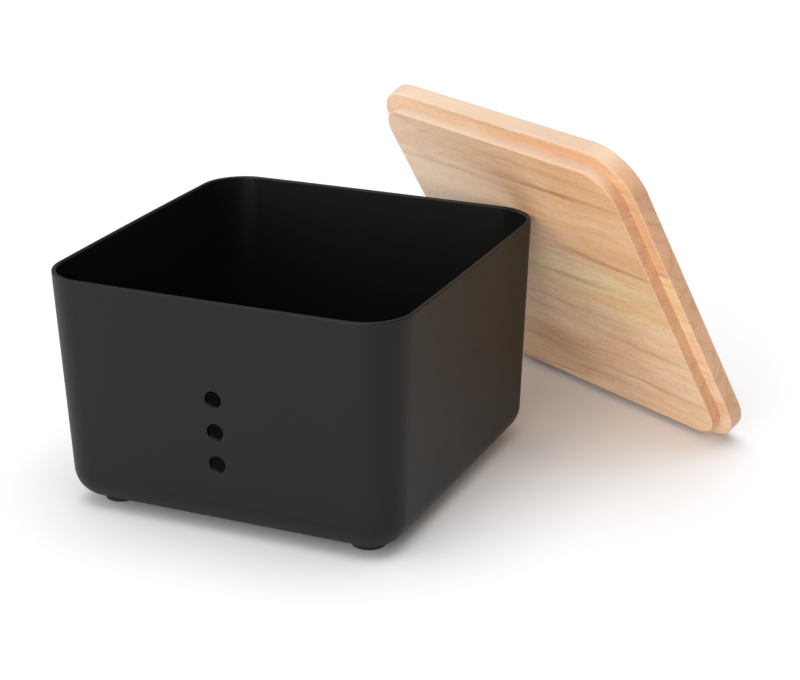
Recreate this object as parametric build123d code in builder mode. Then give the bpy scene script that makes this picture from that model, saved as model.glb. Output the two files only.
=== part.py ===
from build123d import *
from math import cos, sin, sqrt, tan, radians
import os

# Square storage bin in moulded plastic, on four rubber feet, with a rebated wooden lid.
#
# The lid is off the bin: it stands on its lower edge behind the right-hand back corner
# and leans on the rim there, underside towards the bin.
#
# Millimetres. The origin is on the floor, in the middle of the four feet. +Z is up, and
# the wall with the three vents faces -Y.

# --- driving dimensions -------------------------------------------------------------

# the bin
bin_width = 240.0          # outside, at the rim, from corner line to corner line
bin_height = 155.0         # floor to rim
wall = 3.0
base_thickness = 3.5
draft_angle = 2.5          # each wall leans out this much, so that the bin leaves its mould
rim_corner_radius = 29.0   # outside, in plan
base_corner_radius = 22.0  # outside, in plan, before the base is rounded
base_round = 20.0          # between the walls and the base, outside
rim_bow = 1.0              # how far each side bows outwards at the rim
base_bow = 0.2             # and at the base
rim_round = 1.2            # on both edges of the rim

# the vents in the front wall
vent_diameter = 11.0
vent_pitch = 21.5
vent_count = 3
top_vent_height = 91.5     # floor to the middle of the top vent
vent_round = 0.6           # on each vent's outer edge

# the feet
foot_height = 4.0          # what shows under the base
foot_socket_depth = 1.2
foot_top_diameter = 24.0
foot_bottom_diameter = 21.0
foot_edge_round = 0.8
foot_socket_gap = 0.2      # round the foot, for the glue
foot_inset = 26.4          # from the base's sides to the middle of the foot

# the lid
lid_width = 250.0          # square, and it overhangs the rim a little
plate_thickness = 11.5     # the part of the board that lies on the rim
plug_thickness = 8.0       # the part that drops into the mouth
mouth_gap = 1.2            # between the plug and the inside of the wall
plate_corner_radius = 33.0
plate_edge_round = 1.5
plug_edge_round = 1.0
stave_widths = [64.0, 45.0, 45.0, 55.0]  # from the lower edge, and the top stave is the rest

# how the lid leans on the bin
lean_angle = 29.0          # from upright
turn_angle = 29.0          # of its lower edge, from the bin's back wall
side_offset = 4.6          # from the lid's middle to where the rim touches it
rim_clearance = 0.3        # between the lid and the rim

# --- what follows from them ---------------------------------------------------------

half_width = bin_width / 2
wall_rise = bin_height - foot_height
taper = wall_rise * tan(radians(draft_angle))
base_half_width = half_width - taper
foot_reach = base_half_width - foot_inset
floor_z = foot_height + base_thickness


def bowed_square(half, bow, corner):
    """A square whose sides are shallow arcs, with rounded corners."""
    with BuildSketch() as square:
        with BuildLine():
            for turn in range(4):
                ends = [Vector(half, -half), Vector(half + bow, 0), Vector(half, half)]
                ThreePointArc(*[point.rotate(Axis.Z, 90 * turn) for point in ends])
        make_face()
        fillet(square.vertices(), corner)
    return square.sketch_local


# --- the bin ------------------------------------------------------------------------


def tapered_block(bottom, top, inset):
    """The bin's form between two heights, drawn in by a wall's thickness, base rounded."""
    low_half = base_half_width + (bottom - foot_height) * tan(radians(draft_angle)) - inset
    with BuildPart() as block:
        with BuildSketch(Plane.XY.offset(bottom)):
            add(bowed_square(low_half, base_bow, base_corner_radius - inset))
        with BuildSketch(Plane.XY.offset(top)):
            add(bowed_square(half_width - inset, rim_bow, rim_corner_radius - inset))
        loft(ruled=True)
        fillet(block.edges().group_by(Axis.Z)[0], base_round - inset)
    return block.part


outside = tapered_block(foot_height, bin_height, 0)
hollow = tapered_block(floor_z, bin_height, wall)

with BuildPart() as bin_body:
    add(outside)
    add(hollow, mode=Mode.SUBTRACT)
    fillet(bin_body.edges().group_by(Axis.Z)[-1], rim_round)

    # the vents, one above another in the middle of the front wall
    with BuildSketch(Plane.XZ.offset(half_width / 2)):
        for step in range(vent_count):
            with Locations((0, top_vent_height - step * vent_pitch)):
                Circle(vent_diameter / 2)
    extrude(amount=half_width, mode=Mode.SUBTRACT)
    vent_edges = bin_body.edges(Select.LAST).filter_by(GeomType.LINE, reverse=True)
    fillet(vent_edges.sort_by(Axis.Y)[:vent_count], vent_round)

    # the sockets that the feet are glued into
    with BuildSketch(Plane.XY.offset(foot_height + foot_socket_depth)):
        with GridLocations(2 * foot_reach, 2 * foot_reach, 2, 2):
            Circle(foot_top_diameter / 2 + foot_socket_gap)
    extrude(amount=-(foot_height + foot_socket_depth), mode=Mode.SUBTRACT)


# --- the feet -----------------------------------------------------------------------


def rubber_foot(x, y):
    """A tapered button that fills its socket and stands out under the base."""
    top = foot_height + foot_socket_depth
    with BuildPart() as foot:
        with BuildSketch(Plane(origin=(x, y, 0), x_dir=(1, 0, 0), z_dir=(0, -1, 0))):
            with BuildLine():
                Polyline(
                    (0, 0),
                    (foot_bottom_diameter / 2, 0),
                    (foot_top_diameter / 2, foot_height),
                    (foot_top_diameter / 2, top),
                    (0, top),
                    close=True,
                )
            make_face()
        revolve(axis=Axis((x, y, 0), (0, 0, 1)))
        fillet(foot.edges().group_by(Axis.Z)[0], foot_edge_round)
    return foot.part


feet = {
    "foot_front_left": rubber_foot(-foot_reach, -foot_reach),
    "foot_front_right": rubber_foot(foot_reach, -foot_reach),
    "foot_back_left": rubber_foot(-foot_reach, foot_reach),
    "foot_back_right": rubber_foot(foot_reach, foot_reach),
}

# --- the lid ------------------------------------------------------------------------

# Its plane: X along its lower edge, Y up its slope, Z out of its underside.
# Its Z = 0 is the outer face, and its Y = 0 is the lower edge, which stands on the floor.
lean = radians(lean_angle)
turn = radians(turn_angle)
along = Vector(cos(turn), -sin(turn), 0)
to_the_bin = Vector(-sin(turn), -cos(turn), 0)
up_the_slope = to_the_bin * sin(lean) + Vector(0, 0, cos(lean))
underside = to_the_bin * cos(lean) - Vector(0, 0, sin(lean))

# the middle of the rim's corner arc, which lies inside two bowed sides
side_radius = (half_width**2 + rim_bow**2) / (2 * rim_bow)
side_centre = half_width + rim_bow - side_radius
reach = side_radius - rim_corner_radius
corner_centre = (sqrt(2 * reach**2 - side_centre**2) + side_centre) / 2

# the rounded edges of the rim and of the plate stop short of their sharp corners by these
short_of_corner = cos(lean) + sin(lean) - 1
rim_loss = rim_round * short_of_corner
plate_loss = plate_edge_round * short_of_corner

board_thickness = plate_thickness + plug_thickness
rim_corner = Vector(corner_centre, corner_centre, bin_height) - to_the_bin * rim_corner_radius
stand_height = plate_thickness * sin(lean) - plate_loss
face_offset = board_thickness + rim_clearance - rim_loss
slope_offset = (bin_height - stand_height + face_offset * sin(lean)) / cos(lean)
lid_foot = (
    rim_corner - along * side_offset - up_the_slope * slope_offset - underside * face_offset
)
lid_plane = Plane(origin=lid_foot, x_dir=along, z_dir=underside)

# the step round the board: the overhang, the wall and the gap in the mouth
mouth_half_width = half_width - wall - plug_thickness * tan(radians(draft_angle))
plug_width = 2 * (mouth_half_width - mouth_gap)
step_width = (lid_width - plug_width) / 2


def lid_board():
    """The glued board in one piece, squared and rebated, on the lid's plane."""
    middle = (0, lid_width / 2)
    with BuildPart() as board:
        with BuildSketch(lid_plane):
            with Locations(middle):
                RectangleRounded(lid_width, lid_width, plate_corner_radius)
        extrude(amount=plate_thickness)
        fillet(board.edges().filter_by(lid_plane), plate_edge_round)
        with BuildSketch(lid_plane.offset(plate_thickness)):
            with Locations(middle):
                RectangleRounded(plug_width, plug_width, plate_corner_radius - step_width)
        extrude(amount=plug_thickness)
        fillet(board.edges().group_by(Axis(lid_foot, underside))[-1], plug_edge_round)
    return board.part


def stave(board, low, high):
    """The board between two glue lines, which run along the lid's lower edge."""
    with BuildPart() as piece:
        add(board)
        with BuildSketch(lid_plane):
            with Locations((0, (low + high) / 2)):
                Rectangle(lid_width, high - low)
        extrude(amount=board_thickness, mode=Mode.INTERSECT)
    return piece.part


board = lid_board()
glue_lines = [sum(stave_widths[:count]) for count in range(len(stave_widths) + 1)]
glue_lines.append(lid_width)
staves = {
    f"lid_stave_{number}": stave(board, low, high)
    for number, (low, high) in enumerate(zip(glue_lines, glue_lines[1:]), start=1)
}

# --- the files ----------------------------------------------------------------------

os.makedirs("parts", exist_ok=True)
for name, piece in {"bin_body": bin_body.part, **feet, **staves}.items():
    piece.label = name
    export_step(piece, f"parts/{name}.step")
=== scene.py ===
from math import atan2, cos, exp, pi, radians, sin, sqrt, tan

import bmesh
import bpy
from mathutils import Matrix, Vector


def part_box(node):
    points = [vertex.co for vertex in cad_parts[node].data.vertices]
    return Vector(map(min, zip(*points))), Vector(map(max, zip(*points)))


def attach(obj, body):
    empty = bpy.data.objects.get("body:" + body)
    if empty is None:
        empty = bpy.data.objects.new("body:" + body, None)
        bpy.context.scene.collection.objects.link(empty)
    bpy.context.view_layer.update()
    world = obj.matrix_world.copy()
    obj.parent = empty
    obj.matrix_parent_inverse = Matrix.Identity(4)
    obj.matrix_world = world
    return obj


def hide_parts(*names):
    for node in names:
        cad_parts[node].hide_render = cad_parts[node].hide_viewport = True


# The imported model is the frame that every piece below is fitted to.
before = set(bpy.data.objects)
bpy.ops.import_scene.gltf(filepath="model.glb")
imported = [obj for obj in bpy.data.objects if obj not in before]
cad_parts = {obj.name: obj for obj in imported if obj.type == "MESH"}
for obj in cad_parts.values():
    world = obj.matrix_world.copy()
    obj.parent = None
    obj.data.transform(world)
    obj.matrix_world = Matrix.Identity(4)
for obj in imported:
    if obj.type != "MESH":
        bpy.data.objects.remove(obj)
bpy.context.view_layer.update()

# ------------------------------------------------------------------------------------
# The bin. One shot of black polypropylene, with walls that lean out so that it leaves
# its mould, a softly rounded base edge, and three vents cut through the front wall.
# ------------------------------------------------------------------------------------

mm = 0.001
rim_half = 120 * mm
rim_height = 155 * mm
underside_height = 4 * mm
wall_thickness = 3 * mm
base_thickness = 3.5 * mm
wall_draft = radians(2.5)
rim_corner = 29 * mm
base_corner = 22 * mm
base_edge_radius = 20 * mm
rim_edge_radius = 1.2 * mm
rim_bow = 1.0 * mm
base_bow = 0.2 * mm
vent_count = 3
vent_radius = 5.5 * mm
vent_pitch = 21.5 * mm
top_vent_height = 91.5 * mm
vent_edge_radius = 0.6 * mm
hard_edge = radians(35)  # a surface that turns by more than this isn't shaded smooth


def rounded_square(bm, half, corner, height, bow=0.0, corner_segments=16, side_cuts=10):
    """A face with rounded corners whose sides bow outwards by a little."""
    turn = Matrix.Translation((0, 0, height)) @ Matrix.Rotation(pi / 4, 4, "Z")
    made = bmesh.ops.create_circle(
        bm, cap_ends=True, segments=4, radius=half * sqrt(2), matrix=turn
    )
    rounded = bmesh.ops.bevel(
        bm,
        geom=made["verts"],
        offset=corner,
        segments=corner_segments,
        profile=0.5,
        affect="VERTICES",
        material=-1,
    )
    face = rounded["verts"][0].link_faces[0]
    straight_sides = [edge for edge in face.edges if edge.calc_length() > half]
    bmesh.ops.subdivide_edges(bm, edges=straight_sides, cuts=side_cuts)
    for vert in face.verts:
        x, y = vert.co.x / half, vert.co.y / half
        vert.co.x += bow * x * (1 - y * y)
        vert.co.y += bow * y * (1 - x * x)
    return face


def round_edges(bm, edges, radius, segments, lean=0.0):
    """Rounds edges to a radius. lean is how far past square their two faces open."""
    bmesh.ops.bevel(
        bm,
        geom=edges,
        offset=radius * tan((pi / 2 - lean) / 2),
        segments=segments,
        profile=0.5,
        affect="EDGES",
        material=-1,
    )


base_half = rim_half - (rim_height - underside_height) * tan(wall_draft)
floor_height = underside_height + base_thickness
floor_half = base_half + base_thickness * tan(wall_draft) - wall_thickness

# the outside, from the base up to the rim, and the inside, from the rim down to the floor
body = bmesh.new()
base = rounded_square(body, base_half, base_corner, underside_height, base_bow)
rim = rounded_square(body, rim_half, rim_corner, rim_height, rim_bow)
bmesh.ops.bridge_loops(body, edges=list(base.edges) + list(rim.edges))
rim_edges = list(rim.edges)
bmesh.ops.inset_region(body, faces=[rim], thickness=wall_thickness)
mouth_edges = list(rim.edges)
bmesh.ops.delete(body, geom=[rim], context="FACES_ONLY")
bottom = rounded_square(body, floor_half, base_corner - wall_thickness, floor_height, base_bow)
bmesh.ops.bridge_loops(body, edges=mouth_edges + list(bottom.edges))
bmesh.ops.recalc_face_normals(body, faces=body.faces)
for face, radius in ((base, base_edge_radius), (bottom, base_edge_radius - wall_thickness)):
    round_edges(body, list(face.edges), radius, segments=14, lean=wall_draft)
round_edges(body, rim_edges + mouth_edges, rim_edge_radius, segments=4)

# level cuts give each vent one face of its own, outside and inside, to go through
for step in range(vent_count + 1):
    bmesh.ops.bisect_plane(
        body,
        geom=list(body.verts) + list(body.edges) + list(body.faces),
        plane_co=(0, 0, top_vent_height - (step - 0.5) * vent_pitch),
        plane_no=(0, 0, 1),
    )


def onto(verts, face_middle, face_normal):
    """Slides vertices along Y until they lie on a wall."""
    for vert in verts:
        vert.co.y += (face_middle - vert.co).dot(face_normal) / face_normal.y


# each vent is a ring in the outer face, drawn through to the inner one
for step in range(vent_count):
    height = top_vent_height - step * vent_pitch
    walls = sorted(
        (
            face
            for face in body.faces
            if face.calc_center_median().y < -rim_half / 2
            and abs(face.calc_center_median().x) < vent_radius / 2
            and abs(face.calc_center_median().z - height) < vent_radius
        ),
        key=lambda face: face.calc_center_median().y,
    )
    (front, front_normal, front_outline), (back, back_normal, back_outline) = (
        (face.calc_center_median(), face.normal.copy(), list(face.edges)) for face in walls
    )
    bmesh.ops.delete(body, geom=walls, context="FACES_ONLY")
    mouth = bmesh.ops.create_circle(
        body,
        segments=40,
        radius=vent_radius,
        matrix=Matrix.Translation((0, front.y, height)) @ Matrix.Rotation(pi / 2, 4, "X"),
    )["verts"]
    onto(mouth, front, front_normal)
    ring = list({edge for vert in mouth for edge in vert.link_edges})
    bmesh.ops.triangle_fill(body, use_beauty=True, edges=front_outline + ring)
    tunnel = bmesh.ops.extrude_edge_only(body, edges=ring)["geom"]
    onto([item for item in tunnel if isinstance(item, bmesh.types.BMVert)], back, back_normal)
    back_ring = [
        item for item in tunnel if isinstance(item, bmesh.types.BMEdge) and item.is_boundary
    ]
    bmesh.ops.triangle_fill(body, use_beauty=True, edges=back_outline + back_ring)
    round_edges(body, ring, vent_edge_radius, segments=3)
bmesh.ops.recalc_face_normals(body, faces=body.faces)


def piece(name, bm):
    """A finished mesh as an object, smooth but for its hard edges."""
    mesh = bpy.data.meshes.new(name)
    bm.to_mesh(mesh)
    bm.free()
    mesh.shade_smooth()
    mesh.set_sharp_from_angle(angle=hard_edge)
    made = bpy.data.objects.new(name, mesh)
    bpy.context.scene.collection.objects.link(made)
    even = made.modifiers.new("even_shading", "WEIGHTED_NORMAL")
    even.keep_sharp = True
    return made


def add_node(tree, kind, inputs=None, **settings):
    """Adds a node, sets it up, and links or sets its inputs."""
    made = tree.nodes.new(kind)
    for name, value in settings.items():
        setattr(made, name, value)
    for socket, value in (inputs or {}).items():
        if isinstance(value, bpy.types.NodeSocket):
            tree.links.new(value, made.inputs[socket])
        else:
            made.inputs[socket].default_value = value
    return made


def srgb(hex_colour):
    """A written sRGB colour as the linear one that Blender's sockets hold."""
    parts = [int(hex_colour[i : i + 2], 16) / 255 for i in (1, 3, 5)]
    return [p / 12.92 if p <= 0.04045 else ((p + 0.055) / 1.055) ** 2.4 for p in parts] + [1.0]


def new_material(name):
    """An empty node material, and the tree to build it in."""
    made = bpy.data.materials.new(name)
    made.use_nodes = True
    made.node_tree.nodes.clear()
    return made, made.node_tree


# Polypropylene, black all through. The mould is finely etched outside, which gives a dull
# sheen that breaks up in the etching's grain. Its core is smoother, and the inside and the
# vents are painted a little darker, as painted shade, so that they look blacker.
etched_polypropylene, tree = new_material("etched_black_polypropylene")
place = add_node(tree, "ShaderNodeTexCoord")

# how far a spot lies from the bin's middle in the direction that it faces: over 70 mm all
# round the outside, little in the vents, and less than nothing inside
from_middle = add_node(
    tree,
    "ShaderNodeMapping",
    {"Vector": place.outputs["Object"], "Location": (0, 0, -rim_height / 2)},
)
outward = add_node(
    tree,
    "ShaderNodeVectorMath",
    {0: place.outputs["Normal"], 1: from_middle.outputs["Vector"]},
    operation="DOT_PRODUCT",
)
outside_vs_painted_shade = add_node(
    tree,
    "ShaderNodeMapRange",
    {"Value": outward.outputs["Value"], "From Min": 40 * mm, "From Max": 55 * mm},
)

# the etching's grain of 1.2 mm is coarser than the real one, so that it shows, and the tone
# drifts over 60 mm, as the plastic flowed
etching = add_node(
    tree,
    "ShaderNodeTexNoise",
    {"Vector": place.outputs["Object"], "Scale": 1 / (1.2 * mm), "Detail": 3.0},
)
flow = add_node(
    tree,
    "ShaderNodeTexNoise",
    {"Vector": place.outputs["Object"], "Scale": 1 / (60 * mm), "Detail": 2.0},
)
etched_tone = add_node(
    tree,
    "ShaderNodeMix",
    {"Factor": flow.outputs["Fac"], "A": srgb("#121212"), "B": srgb("#151514")},
    data_type="RGBA",
)
# painted shade: the inside and the vents take a slightly darker black than the outside
tone = add_node(
    tree,
    "ShaderNodeMix",
    {
        "Factor": outside_vs_painted_shade.outputs["Result"],
        "A": srgb("#111110"),
        "B": etched_tone.outputs["Result"],
    },
    data_type="RGBA",
)
etched_gloss = add_node(
    tree,
    "ShaderNodeMapRange",
    {
        "Value": etching.outputs["Fac"],
        "From Min": 0.3,
        "From Max": 0.7,
        "To Min": 0.46,
        "To Max": 0.52,
    },
)
gloss = add_node(
    tree,
    "ShaderNodeMapRange",
    {
        "Value": outside_vs_painted_shade.outputs["Result"],
        "To Min": 0.32,
        "To Max": etched_gloss.outputs["Result"],
    },
)
bump = add_node(
    tree,
    "ShaderNodeBump",
    {"Height": etching.outputs["Fac"], "Strength": 0.12, "Distance": 0.05 * mm},
)
shader = add_node(
    tree,
    "ShaderNodeBsdfPrincipled",
    {
        "Base Color": tone.outputs["Result"],
        "Roughness": gloss.outputs["Result"],
        "Normal": bump.outputs["Normal"],
        "IOR": 1.49,
        "Specular IOR Level": 0.26,
    },
)
add_node(tree, "ShaderNodeOutputMaterial", {"Surface": shader.outputs["BSDF"]})

bin_body = piece("bin_body_moulding", body)
bin_body.data.materials.append(etched_polypropylene)
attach(bin_body, "bin")
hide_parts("bin_body")

# ------------------------------------------------------------------------------------
# The feet. Four tapered buttons of black rubber, pressed and glued into shallow
# sockets under the corners.
# ------------------------------------------------------------------------------------

foot_top_radius = 12 * mm
foot_bottom_radius = 10.5 * mm
foot_top = 5.2 * mm
foot_edge_radius = 0.8 * mm
foot_lean = atan2(foot_top_radius - foot_bottom_radius, underside_height)


def top_face(bm):
    """The largest of a mesh's highest faces."""
    return max(bm.faces, key=lambda face: (round(face.calc_center_median().z, 6), face.calc_area()))


def draw_up(bm, face, height):
    """Extrudes a face straight up."""
    drawn = bmesh.ops.extrude_face_region(bm, geom=[face])["geom"]
    verts = [item for item in drawn if isinstance(item, bmesh.types.BMVert)]
    bmesh.ops.translate(bm, vec=(0, 0, height), verts=verts)


# Black rubber, moulded: dull, with a faint grey bloom on its skin in spots of about 2 mm.
black_rubber, tree = new_material("moulded_black_rubber")
place = add_node(tree, "ShaderNodeTexCoord")
bloom = add_node(
    tree,
    "ShaderNodeTexNoise",
    {"Vector": place.outputs["Object"], "Scale": 1 / (2 * mm), "Detail": 4.0},
)
tone = add_node(
    tree,
    "ShaderNodeMix",
    {"Factor": bloom.outputs["Fac"], "A": srgb("#121212"), "B": srgb("#1c1c1b")},
    data_type="RGBA",
)
bump = add_node(
    tree,
    "ShaderNodeBump",
    {"Height": bloom.outputs["Fac"], "Strength": 0.2, "Distance": 0.1 * mm},
)
shader = add_node(
    tree,
    "ShaderNodeBsdfPrincipled",
    {
        "Base Color": tone.outputs["Result"],
        "Roughness": 0.75,
        "Normal": bump.outputs["Normal"],
        "IOR": 1.52,
    },
)
add_node(tree, "ShaderNodeOutputMaterial", {"Surface": shader.outputs["BSDF"]})

for node in ("foot_front_left", "foot_front_right", "foot_back_left", "foot_back_right"):
    low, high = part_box(node)
    middle = (low + high) / 2
    button = bmesh.new()
    bmesh.ops.create_cone(
        button,
        cap_ends=True,
        segments=64,
        radius1=foot_bottom_radius,
        radius2=foot_top_radius,
        depth=underside_height,
        matrix=Matrix.Translation((middle.x, middle.y, underside_height / 2)),
    )
    top = top_face(button)
    draw_up(button, top, foot_top - underside_height)
    bmesh.ops.delete(button, geom=[top], context="FACES_ONLY")
    bottom = min(button.faces, key=lambda face: face.calc_center_median().z)
    round_edges(button, list(bottom.edges), foot_edge_radius, segments=4, lean=foot_lean)
    bmesh.ops.recalc_face_normals(button, faces=button.faces)
    foot = piece(node + "_button", button)
    foot.data.materials.append(black_rubber)
    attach(foot, "bin")
    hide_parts(node)

# ------------------------------------------------------------------------------------
# The lid. Five staves of rubberwood, edge-glued, squared, rebated so that the plug
# drops into the mouth, sanded flush and oiled. It leans on the rim, underside showing.
# ------------------------------------------------------------------------------------

lid_half = 125 * mm
plate_thickness = 11.5 * mm
plug_thickness = 8 * mm
mouth_gap = 1.2 * mm
plate_corner = 33 * mm
plate_edge_radius = 1.5 * mm
plug_edge_radius = 1.0 * mm
glue_lines = [0, 64 * mm, 109 * mm, 154 * mm, 209 * mm, 250 * mm]
plug_half = rim_half - wall_thickness - plug_thickness * tan(wall_draft) - mouth_gap

# the leaning board's own axes, from the middle of its outer face's lower edge
lean = radians(29)
turn = radians(29)
lower_edge = Vector((cos(turn), -sin(turn), 0))
to_the_bin = Vector((-sin(turn), -cos(turn), 0))
up_the_slope = to_the_bin * sin(lean) + Vector((0, 0, cos(lean)))
underside = to_the_bin * cos(lean) - Vector((0, 0, sin(lean)))
lid_foot = Vector((152.4900, 211.0840, 5.0362)) * mm
lid_place = Matrix((lower_edge, up_the_slope, underside)).transposed().to_4x4()
lid_place.translation = lid_foot

# the board lying on its outer face: the plate, and on it the plug
board = bmesh.new()
outer_face = rounded_square(board, lid_half, plate_corner, 0, corner_segments=24, side_cuts=0)
draw_up(board, outer_face, plate_thickness)
bmesh.ops.recalc_face_normals(board, faces=board.faces)
level_edges = [
    edge for edge in board.edges if abs(edge.verts[0].co.z - edge.verts[1].co.z) < 0.1 * mm
]
round_edges(board, level_edges, plate_edge_radius, segments=5)
step_width = lid_half - plug_half - plate_edge_radius
bmesh.ops.inset_region(board, faces=[top_face(board)], thickness=step_width, use_even_offset=True)
plug = top_face(board)
draw_up(board, plug, plug_thickness)
bmesh.ops.delete(board, geom=[plug], context="FACES_ONLY")
round_edges(board, list(top_face(board).edges), plug_edge_radius, segments=4)
bmesh.ops.translate(board, vec=(0, lid_half, 0), verts=board.verts)
bmesh.ops.recalc_face_normals(board, faces=board.faces)


# the wood's figure is drawn on the board's own axes, in millimetres
stave_length = 2 * lid_half / mm
wave_length, wave_width = 100, 34  # of the waves that the grain wanders in
grain_wander = 26  # how far it wanders, from lowest to highest
streak_wander = 6
ring_wander = 5  # in rings
ring_slope = 0.02  # the rings' axis runs nearly along the board
seed_path = Vector((1, 1.7, 2.3))  # the way that a seed moves the figure


# Rubberwood, planed, sanded and wiped with clear oil: pale tan in soft wide bands, paler
# towards one end, partly its own tone and partly painted light that lifts the bin's shade
# there, with a few darker streaks that snake along the grain, silvery flecks where rays are
# cut, and end grain that drinks more oil and so is browner. A few wide streaks are painted
# shade or painted light, and the long edges carry painted shade and a painted sheen.
def oiled_rubberwood(name, pith, ring, pale, warm, end_paling_and_painted_light, end, seed, streaks):
    """One stave's wood.

    pith is where the log's middle runs, across and through the board, and ring is how far
    apart the growth rings are. The ground goes from pale to warm. The number after warm is how
    much of it pales towards one end, where the bin shades the lid: partly the wood's own tone
    and partly painted light that lifts that shade. end is the end grain's tone. seed moves the
    whole figure. A streak is its middle along the stave, its height above the lid's lower
    edge, its slope, half width and reach, and its strength and tone; a few wide streaks are
    painted shade or painted light.
    """
    made, tree = new_material(name)
    place = add_node(tree, "ShaderNodeTexCoord")

    # the spot on the board: along its lower edge, up its slope and in from its outer face
    in_board = add_node(
        tree,
        "ShaderNodeMapping",
        {
            "Vector": place.outputs["Object"],
            "Location": lid_foot,
            "Rotation": lid_place.to_euler(),
            "Scale": (mm, mm, mm),
        },
        vector_type="TEXTURE",
    ).outputs["Vector"]
    apart = add_node(tree, "ShaderNodeSeparateXYZ", {"Vector": in_board})
    along, across = apart.outputs["X"], apart.outputs["Y"]

    # the grain wanders up and down the board, and the figure bends with it
    drawn_out = add_node(
        tree,
        "ShaderNodeMapping",
        {
            "Vector": in_board,
            "Location": seed_path * seed,
            "Scale": (1 / wave_length, 1 / wave_width, 1 / wave_width),
        },
    )
    wander = add_node(
        tree,
        "ShaderNodeTexNoise",
        {"Vector": drawn_out.outputs["Vector"], "Scale": 1.0, "Detail": 2.0},
    ).outputs["Fac"]
    upward = add_node(
        tree,
        "ShaderNodeMath",
        {0: wander, 1: grain_wander, 2: -grain_wander / 2},
        operation="MULTIPLY_ADD",
    )
    bend = add_node(tree, "ShaderNodeCombineXYZ", {"Y": upward.outputs["Value"]})
    bent = add_node(
        tree, "ShaderNodeVectorMath", {0: in_board, 1: bend.outputs["Vector"]}, operation="ADD"
    )

    # the figure: patterns drawn out along the fibres, each so many millimetres long and wide;
    # fibres, pores and dots are a little coarser than real ones, so that they show
    figure = {}
    for layer, length, width, detail in (
        ("ring_fade", 80, 16, 2.0),
        ("bands", 150, 13, 3.0),
        ("fine_bands", 150, 5, 3.0),
        ("clouds", 70, 22, 2.5),
        ("patches", 45, 14, 2.0),
        ("shimmer", 12, 0.9, 2.0),
        ("fibres", 30, 0.8, 4.0),
        ("pores", 5, 0.5, 1.0),
        ("dots", 0.9, 0.9, 2.0),
    ):
        stretched = add_node(
            tree,
            "ShaderNodeMapping",
            {
                "Vector": bent.outputs["Vector"],
                "Location": seed_path * seed * (len(figure) + 2),
                "Scale": (1 / length, 1 / width, 1 / width),
            },
        )
        figure[layer] = add_node(
            tree,
            "ShaderNodeTexNoise",
            {"Vector": stretched.outputs["Vector"], "Scale": 1.0, "Detail": detail},
        ).outputs["Fac"]

    # growth rings round the pith, which wander slowly along the grain and end in a dark line
    from_pith = add_node(
        tree,
        "ShaderNodeMapping",
        {
            "Vector": in_board,
            "Location": (0, -pith[0], -pith[1]),
            "Scale": (ring_slope, 1, 1),
        },
    )
    distance = add_node(
        tree, "ShaderNodeVectorMath", {0: from_pith.outputs["Vector"]}, operation="LENGTH"
    )
    wandered = add_node(
        tree,
        "ShaderNodeMath",
        {0: wander, 1: ring * ring_wander, 2: distance.outputs["Value"]},
        operation="MULTIPLY_ADD",
    )
    year = add_node(
        tree, "ShaderNodeMath", {0: wandered.outputs["Value"], 1: 1 / ring}, operation="MULTIPLY"
    )
    season = add_node(tree, "ShaderNodeMath", {0: year.outputs["Value"]}, operation="FRACT")
    late_wood = add_node(tree, "ShaderNodeValToRGB", {"Fac": season.outputs["Value"]})
    ramp = late_wood.color_ramp.elements
    ramp[0].color = (0.7, 0.7, 0.7, 1)
    ramp[1].color = (0.75, 0.75, 0.75, 1)
    for spot, level in ((0.14, 0.12), (0.5, 0.0), (0.8, 0.3), (0.93, 1.0)):
        ramp.new(spot).color = (level, level, level, 1)
    ring_share = add_node(
        tree,
        "ShaderNodeMapRange",
        {"Value": figure["ring_fade"], "From Min": 0.45, "From Max": 0.68},
    )
    figure["rings"] = add_node(
        tree,
        "ShaderNodeMath",
        {0: late_wood.outputs["Color"], 1: ring_share.outputs["Result"]},
        operation="MULTIPLY",
    ).outputs["Value"]

    # silvery flecks come in patches
    silver = add_node(
        tree,
        "ShaderNodeMapRange",
        {"Value": figure["patches"], "From Min": 0.52, "From Max": 0.68},
    )
    figure["silver"] = add_node(
        tree,
        "ShaderNodeMath",
        {0: silver.outputs["Result"], 1: figure["shimmer"]},
        operation="MULTIPLY",
    ).outputs["Value"]
    # how near a spot lies to the end where the bin shades the lid, for the pale end and its painted
    # light
    figure["pale_and_painted_light_end"] = add_node(
        tree,
        "ShaderNodeMath",
        {0: along, 1: -1 / stave_length, 2: 0.5},
        operation="MULTIPLY_ADD",
    ).outputs["Value"]

    # each tone is washed over the last one, where its pattern rises from low to high
    ground = srgb(pale)
    for layer, low, high, most, tint in (
        ("bands", 0.38, 0.62, 1.0, warm),
        ("clouds", 0.44, 0.64, 0.28, "#e8ae86"),
        ("fine_bands", 0.48, 0.72, 0.25, "#d9a675"),
        ("silver", 0.25, 0.6, 0.5, "#fde8d2"),
        ("fibres", 0.42, 0.7, 0.36, "#cf9c6f"),
        # painted light, partly the wood's own tone: the end where the bin shades the lid is paled
        ("pale_and_painted_light_end", 0.25, 0.85, end_paling_and_painted_light, "#ffe4c9"),
        ("rings", 0.0, 1.0, 0.27, "#c38d62"),
        ("pores", 0.58, 0.7, 0.34, "#b07e50"),
    ):
        share = add_node(
            tree,
            "ShaderNodeMapRange",
            {"Value": figure[layer], "From Min": low, "From Max": high, "To Max": most},
        )
        ground = add_node(
            tree,
            "ShaderNodeMix",
            {"Factor": share.outputs["Result"], "A": ground, "B": srgb(tint)},
            data_type="RGBA",
        ).outputs["Result"]

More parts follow.
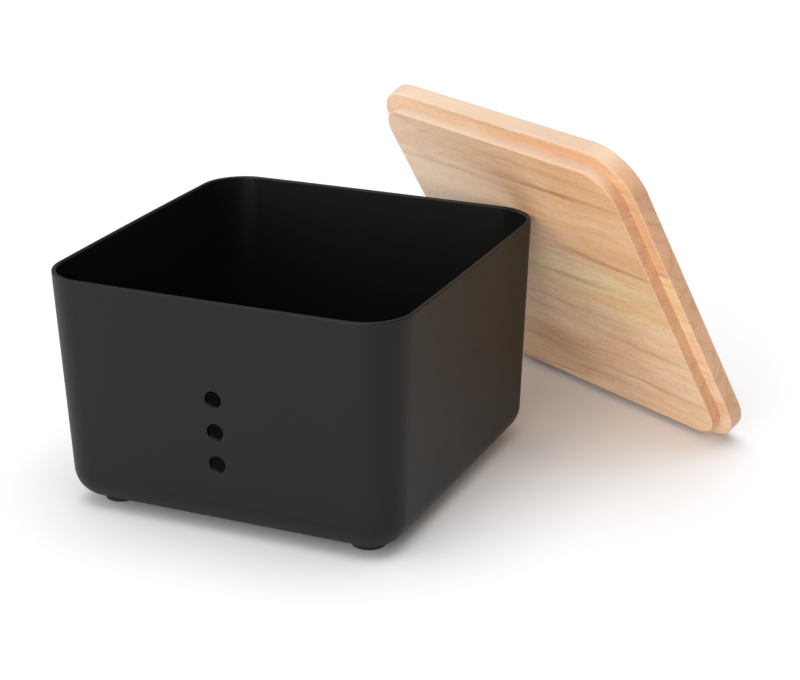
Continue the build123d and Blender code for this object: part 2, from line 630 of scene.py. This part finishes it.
    # streaks that snake along the stave, break up in the bands and fade out at both ends; the
    # widest ones in the first, third and fifth staves are painted shade and painted light
    broken = add_node(
        tree,
        "ShaderNodeMapRange",
        {
            "Value": figure["fine_bands"],
            "From Min": 0.35,
            "From Max": 0.65,
            "To Min": 0.35,
            "To Max": 1.45,
        },
    )
    for middle, height, slope, width, reach, strength, tint in streaks:
        # how far above or below its line, in half widths
        line = add_node(
            tree,
            "ShaderNodeMath",
            {0: along, 1: -slope, 2: slope * middle - height - streak_wander / 2},
            operation="MULTIPLY_ADD",
        )
        snake = add_node(
            tree,
            "ShaderNodeMath",
            {0: wander, 1: streak_wander, 2: line.outputs["Value"]},
            operation="MULTIPLY_ADD",
        )
        off = add_node(
            tree, "ShaderNodeMath", {0: across, 1: snake.outputs["Value"]}, operation="ADD"
        )
        aside = add_node(
            tree, "ShaderNodeMath", {0: off.outputs["Value"], 1: 1 / width}, operation="MULTIPLY"
        )
        # how far along from its middle, in reaches
        onward = add_node(
            tree,
            "ShaderNodeMath",
            {0: along, 1: 1 / reach, 2: -middle / reach},
            operation="MULTIPLY_ADD",
        )
        far = add_node(
            tree,
            "ShaderNodeMath",
            {0: onward.outputs["Value"], 1: onward.outputs["Value"]},
            operation="MULTIPLY",
        )
        # it is strongest in the middle and thins out by a bell curve
        away = add_node(
            tree,
            "ShaderNodeMath",
            {0: aside.outputs["Value"], 1: aside.outputs["Value"], 2: far.outputs["Value"]},
            operation="MULTIPLY_ADD",
        )
        trace = add_node(
            tree, "ShaderNodeMath", {0: exp(-1), 1: away.outputs["Value"]}, operation="POWER"
        )
        drawn = add_node(
            tree,
            "ShaderNodeMath",
            {0: trace.outputs["Value"], 1: broken.outputs["Result"]},
            operation="MULTIPLY",
        )
        share = add_node(
            tree,
            "ShaderNodeMath",
            {0: drawn.outputs["Value"], 1: strength},
            operation="MULTIPLY",
        )
        ground = add_node(
            tree,
            "ShaderNodeMix",
            {"Factor": share.outputs["Value"], "A": ground, "B": srgb(tint)},
            data_type="RGBA",
        ).outputs["Result"]

    # end grain where the surface faces along the fibres, with fine dark dots and the rings;
    # the long edges, facing up or down the slope, are painted darker and greyer: painted shade
    # against the overhead light on them, and a painted sheen
    dotted = add_node(
        tree,
        "ShaderNodeMapRange",
        {"Value": figure["dots"], "From Min": 0.35, "From Max": 0.65},
    )
    end_tone = add_node(
        tree,
        "ShaderNodeMix",
        {"Factor": dotted.outputs["Result"], "A": srgb(end), "B": srgb("#c39370")},
        data_type="RGBA",
    )
    arcs = add_node(
        tree,
        "ShaderNodeMath",
        {0: late_wood.outputs["Color"], 1: 0.4},
        operation="MULTIPLY",
    )
    end_tone = add_node(
        tree,
        "ShaderNodeMix",
        {"Factor": arcs.outputs["Value"], "A": end_tone.outputs["Result"], "B": srgb("#a9714e")},
        data_type="RGBA",
    )
    for direction, most, tint in (
        (lower_edge, 0.85, end_tone.outputs["Result"]),
        # painted shade and painted sheen: a darker, greyer tone where the surface faces up or down
        # the slope
        (up_the_slope, 0.68, srgb("#c9b7a5")),
    ):
        facing = add_node(
            tree,
            "ShaderNodeVectorMath",
            {0: place.outputs["Normal"], 1: direction},
            operation="DOT_PRODUCT",
        )
        squared = add_node(
            tree,
            "ShaderNodeMath",
            {0: facing.outputs["Value"], 1: facing.outputs["Value"]},
            operation="MULTIPLY",
        )
        share = add_node(
            tree, "ShaderNodeMath", {0: squared.outputs["Value"], 1: most}, operation="MULTIPLY"
        )
        ground = add_node(
            tree,
            "ShaderNodeMix",
            {"Factor": share.outputs["Value"], "A": ground, "B": tint},
            data_type="RGBA",
        ).outputs["Result"]

    # sanding leaves the pores a little sunk and the fibres a little proud
    relief = add_node(
        tree,
        "ShaderNodeMath",
        {0: figure["pores"], 1: -0.3, 2: figure["fibres"]},
        operation="MULTIPLY_ADD",
    )
    bump = add_node(
        tree,
        "ShaderNodeBump",
        {"Height": relief.outputs["Value"], "Strength": 0.12, "Distance": 0.1 * mm},
    )
    sheen = add_node(
        tree,
        "ShaderNodeMapRange",
        {
            "Value": figure["fibres"],
            "From Min": 0.3,
            "From Max": 0.7,
            "To Min": 0.44,
            "To Max": 0.54,
        },
    )
    shader = add_node(
        tree,
        "ShaderNodeBsdfPrincipled",
        {
            "Base Color": ground,
            "Roughness": sheen.outputs["Result"],
            "Normal": bump.outputs["Normal"],
            "IOR": 1.47,
        },
    )
    add_node(tree, "ShaderNodeOutputMaterial", {"Surface": shader.outputs["BSDF"]})
    return made


# the five woods, from the lid's lower edge up
stave_woods = [
    oiled_rubberwood(
        "oiled_rubberwood_1",
        pith=(30, -45),
        ring=11,
        pale="#ffe2bf",
        warm="#fad3ae",
        end_paling_and_painted_light=0.0,
        end="#d9a67c",
        seed=3.1,
        streaks=[
            # painted shade: a wide, soft dark band where the bin's shadow falls on the lid's lower
            # left
            (-30, 47, -0.06, 15.0, 42, 0.38, "#bc8452"),
            (70, 40, -0.03, 2.0, 60, 0.25, "#c08a5a"),
            (-60, 14, 0.1, 1.2, 40, 0.45, "#ba7d55"),
            (20, 30, 0.05, 2.0, 35, 0.3, "#c48a62"),
        ],
    ),
    oiled_rubberwood(
        "oiled_rubberwood_2",
        pith=(85, 60),
        ring=12,
        pale="#ffdfb9",
        warm="#ffd3a7",
        end_paling_and_painted_light=0.5,
        end="#deae86",
        seed=7.7,
        streaks=[
            (80, 78, -0.05, 2.5, 60, 0.35, "#c4935c"),
            (10, 98, 0.0, 1.2, 60, 0.2, "#c08a5a"),
            (-30, 85, -0.05, 3.0, 25, 0.25, "#b98a62"),
        ],
    ),
    oiled_rubberwood(
        "oiled_rubberwood_3",
        pith=(160, -30),
        ring=11,
        pale="#ffe2b1",
        warm="#ffd29b",
        end_paling_and_painted_light=0.5,
        end="#d1a07c",
        seed=12.9,
        streaks=[
            (20, 130, 0.0, 1.6, 40, 0.35, "#bb8a58"),
            # painted light: a wide pale band that lifts the bin's shade in the middle of the lid
            (-38, 131, -0.05, 15.0, 36, 0.4, "#ffd6a2"),
            (70, 147, -0.04, 2.6, 45, 0.5, "#b98550"),
            (60, 122, -0.02, 1.4, 30, 0.2, "#b57c50"),
        ],
    ),
    oiled_rubberwood(
        "oiled_rubberwood_4",
        pith=(175, 55),
        ring=13,
        pale="#fbcfa2",
        warm="#f6bd89",
        end_paling_and_painted_light=0.8,
        end="#dcac88",
        seed=17.3,
        streaks=[
            (-60, 202.5, 0.02, 2.2, 70, 0.4, "#c08865"),
            # a wide golden-brown band that darkens the board to the right of the rim's corner
            (16, 190, -0.2, 13.0, 20, 0.45, "#cf945a"),
            (60, 158, -0.06, 2.0, 40, 0.45, "#ba8555"),
            (105, 156, 0.0, 1.8, 35, 0.35, "#b58052"),
        ],
    ),
    oiled_rubberwood(
        "oiled_rubberwood_5",
        pith=(232, -25),
        ring=10,
        pale="#fece9f",
        warm="#f1bb8a",
        end_paling_and_painted_light=0.5,
        end="#d09c78",
        seed=21.7,
        streaks=[
            (60, 211, 0.03, 1.8, 70, 0.5, "#b5804f"),
            (10, 211, 0.05, 4.0, 25, 0.35, "#c0905c"),
            # painted light: a wide warm band that warms the shade near the middle of the lid
            (-8, 222, 0.0, 12.0, 22, 0.3, "#efae78"),
            (-30, 222, 0.02, 2.0, 60, 0.3, "#c18c64"),
            (-88, 236, -0.25, 1.5, 12, 0.35, "#c8905f"),
            (-72, 229, 0.3, 1.5, 10, 0.35, "#c8905f"),
            (60, 227, -0.04, 1.6, 60, 0.3, "#bd8a5a"),
        ],
    ),
]

# each stave is the board between two glue lines, with its own wood
for number, (low, high, wood) in enumerate(zip(glue_lines, glue_lines[1:], stave_woods), start=1):
    stave = board.copy()
    for height, side in ((low, -1), (high, 1)):
        if 0 < height < 2 * lid_half:
            cut = bmesh.ops.bisect_plane(
                stave,
                geom=list(stave.verts) + list(stave.edges) + list(stave.faces),
                plane_co=(0, height, 0),
                plane_no=(0, side, 0),
                clear_outer=True,
            )["geom_cut"]
            joint = [item for item in cut if isinstance(item, bmesh.types.BMEdge)]
            bmesh.ops.edgeloop_fill(stave, edges=joint)
    bmesh.ops.recalc_face_normals(stave, faces=stave.faces)
    bmesh.ops.transform(stave, matrix=lid_place, verts=stave.verts)
    lath = piece(f"lid_stave_{number}_board", stave)
    lath.data.materials.append(wood)
    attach(lath, "lid")
    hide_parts(f"lid_stave_{number}")
board.free()

# ------------------------------------------------------------------------------------
# The floor. A plain sheet of matt white paper, far wider than the object, that keeps the
# object's shadow.
# ------------------------------------------------------------------------------------

floor_reach = 6.0

# White paper, uncoated, so it has no shine. The lens sees it a touch whiter than the object
# is lit by it.
white_paper, tree = new_material("matt_white_paper")
path = add_node(tree, "ShaderNodeLightPath")
tone = add_node(
    tree,
    "ShaderNodeMix",
    {"Factor": path.outputs["Is Camera Ray"], "A": srgb("#f2f2f2"), "B": srgb("#fcfdff")},
    data_type="RGBA",
)
paper = add_node(tree, "ShaderNodeBsdfDiffuse", {"Color": tone.outputs["Result"]})
add_node(tree, "ShaderNodeOutputMaterial", {"Surface": paper.outputs["BSDF"]})
sheet = bmesh.new()
bmesh.ops.create_grid(sheet, x_segments=1, y_segments=1, size=floor_reach)
floor = piece("floor", sheet)
floor.data.materials.append(white_paper)

# ------------------------------------------------------------------------------------
# Soft, plain light. Wide lamps overhead, in front and to the left, and a pale room that
# the lens sees as white.
# ------------------------------------------------------------------------------------

room = bpy.data.worlds.new("pale_room")
bpy.context.scene.world = room
room.use_nodes = True
tree = room.node_tree
tree.nodes.clear()
air = add_node(tree, "ShaderNodeBackground", {"Color": (1, 1, 1, 1), "Strength": 0.3})
seen = add_node(tree, "ShaderNodeBackground", {"Color": (1, 1, 1, 1), "Strength": 1.0})
path = add_node(tree, "ShaderNodeLightPath")
room_mix = add_node(
    tree,
    "ShaderNodeMixShader",
    {
        0: path.outputs["Is Camera Ray"],
        1: air.outputs["Background"],
        2: seen.outputs["Background"],
    },
)
add_node(tree, "ShaderNodeOutputWorld", {"Surface": room_mix.outputs["Shader"]})

# each lamp's strength, how wide it looks from the object in degrees, and where it shines
for name, strength, spread, shines in (
    ("overhead_softbox", 1.75, 60, (0, 0, -1)),
    ("front_softbox", 1.82, 40, (0, 0.99, -0.139)),
    ("high_left_softbox", 0.64, 50, (0.41, 0.709, -0.574)),
    ("left_softbox", 0.65, 50, (0.962, 0.084, -0.259)),
):
    lamp = bpy.data.lights.new(name, "SUN")
    lamp.energy = strength
    lamp.angle = radians(spread)
    softbox = bpy.data.objects.new(name, lamp)
    bpy.context.scene.collection.objects.link(softbox)
    softbox.rotation_euler = Vector(shines).to_track_quat("-Z", "Y").to_euler()

# ------------------------------------------------------------------------------------
# The camera. It stands about 1.4 m off, in front and to the right, and looks down at 21
# degrees.
# ------------------------------------------------------------------------------------

eye = bpy.data.cameras.new("camera")
eye.sensor_fit = "HORIZONTAL"
eye.sensor_width = 36.0
eye.lens = 92.410
camera = bpy.data.objects.new("camera", eye)
bpy.context.scene.collection.objects.link(camera)
camera.matrix_world = (
    Matrix.Translation((0.56784, -1.10012, 0.56028))
    @ Matrix.Rotation(radians(24.37), 4, "Z")
    @ Matrix.Rotation(radians(90 - 20.92), 4, "X")
    @ Matrix.Rotation(radians(-0.57), 4, "Z")
)
bpy.context.scene.camera = camera
bpy.context.scene.view_settings.view_transform = "Standard"
